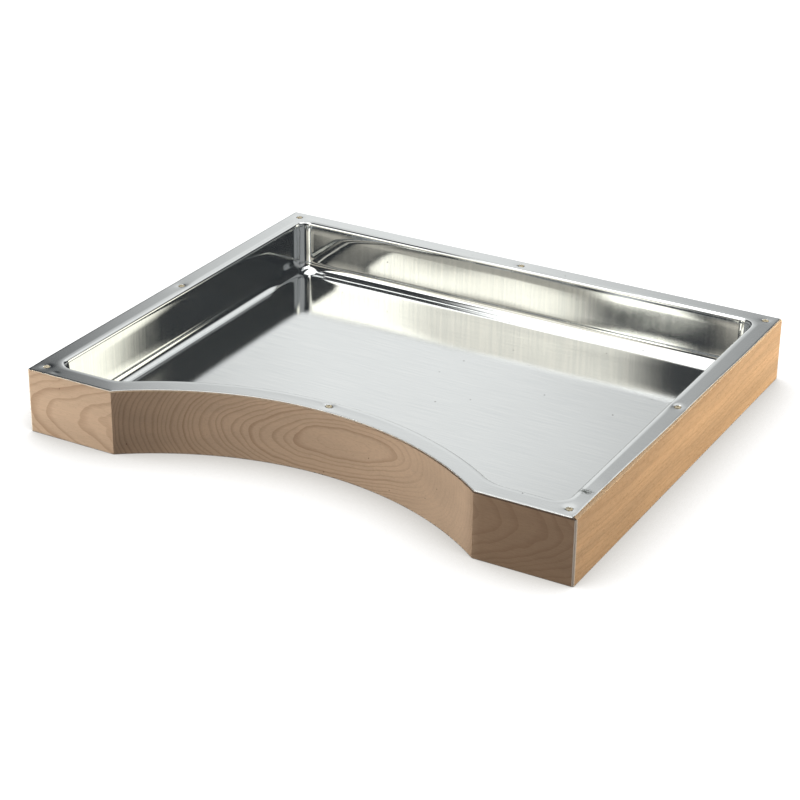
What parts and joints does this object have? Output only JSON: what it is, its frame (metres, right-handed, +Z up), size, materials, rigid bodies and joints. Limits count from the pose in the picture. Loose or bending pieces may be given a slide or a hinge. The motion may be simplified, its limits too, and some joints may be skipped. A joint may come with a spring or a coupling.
{
  "type": "jeweller's bench tray",
  "caption": "Shallow sheet-steel catch tray on a mitred beech frame, with a concave front that fits round the person at the bench.",
  "frame": {"origin": "middle of the wooden frame's underside", "axes": "+X to the right along the front, +Y from the concave front to the back, +Z up out of the pan"},
  "size_m": [0.52, 0.434, 0.0603],
  "materials": {
    "beech_front": "sanded and thinly oiled",
    "beech_sides": "sanded and thinly oiled",
    "zinc_coated_steel": "satin, faint rolling lines",
    "screw_zinc": "yellow zinc plating",
    "dowel_beech": "plain"
  },
  "bodies": {
    "root": {"front_rail": "beech_front", "back_rail": "beech_sides", "left_rail": "beech_sides", "right_rail": "beech_sides", "steel_pan": "zinc_coated_steel", "corner_screws": "screw_zinc", "rail_screws": "screw_zinc", "front_left_dowels": "dowel_beech", "front_right_dowels": "dowel_beech", "back_left_dowels": "dowel_beech", "back_right_dowels": "dowel_beech"}
  },
  "joints": []
}
